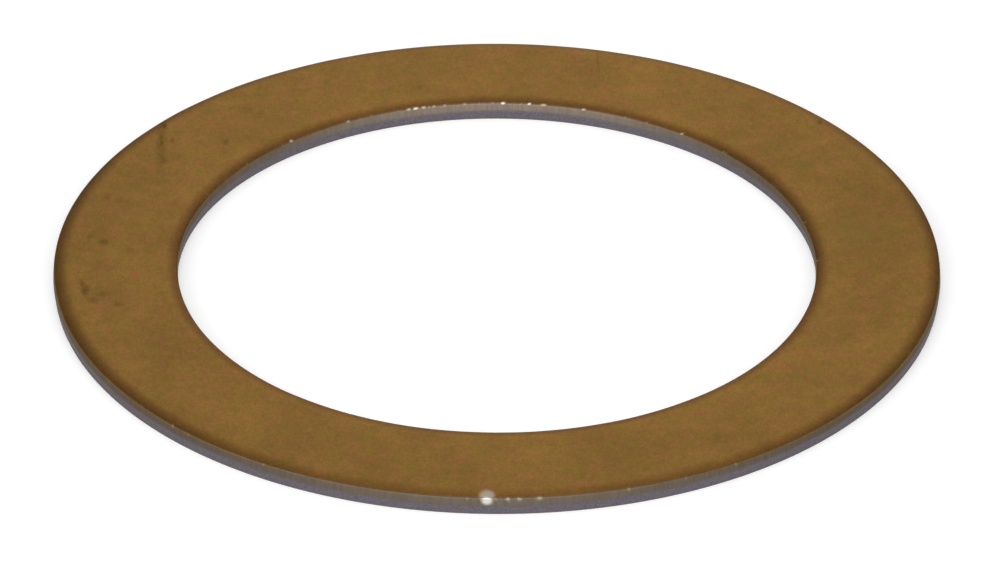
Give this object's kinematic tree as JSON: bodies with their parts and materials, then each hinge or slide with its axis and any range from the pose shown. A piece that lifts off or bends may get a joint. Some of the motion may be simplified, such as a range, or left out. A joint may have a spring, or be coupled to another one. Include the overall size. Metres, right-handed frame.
{
  "type": "shim ring",
  "caption": "Flat, thin shim ring punched from tempered spring steel, slipped over a shaft or into a housing bore to take up axial play.",
  "frame": {"origin": "centre of the bore, in the plane of the lower face, on which the ring lies", "axes": "+Z along the axis of the bore, from the lower face to the upper face; X and Y lie in the lower face and can point anywhere, since the ring is round"},
  "size_m": [0.0448, 0.0448, 0.001],
  "materials": {
    "tempered_steel": "satin, straw to brown temper colour on the faces, bare grey steel on the punched walls"
  },
  "bodies": {
    "root": {"shim_ring": "tempered_steel"}
  },
  "joints": []
}
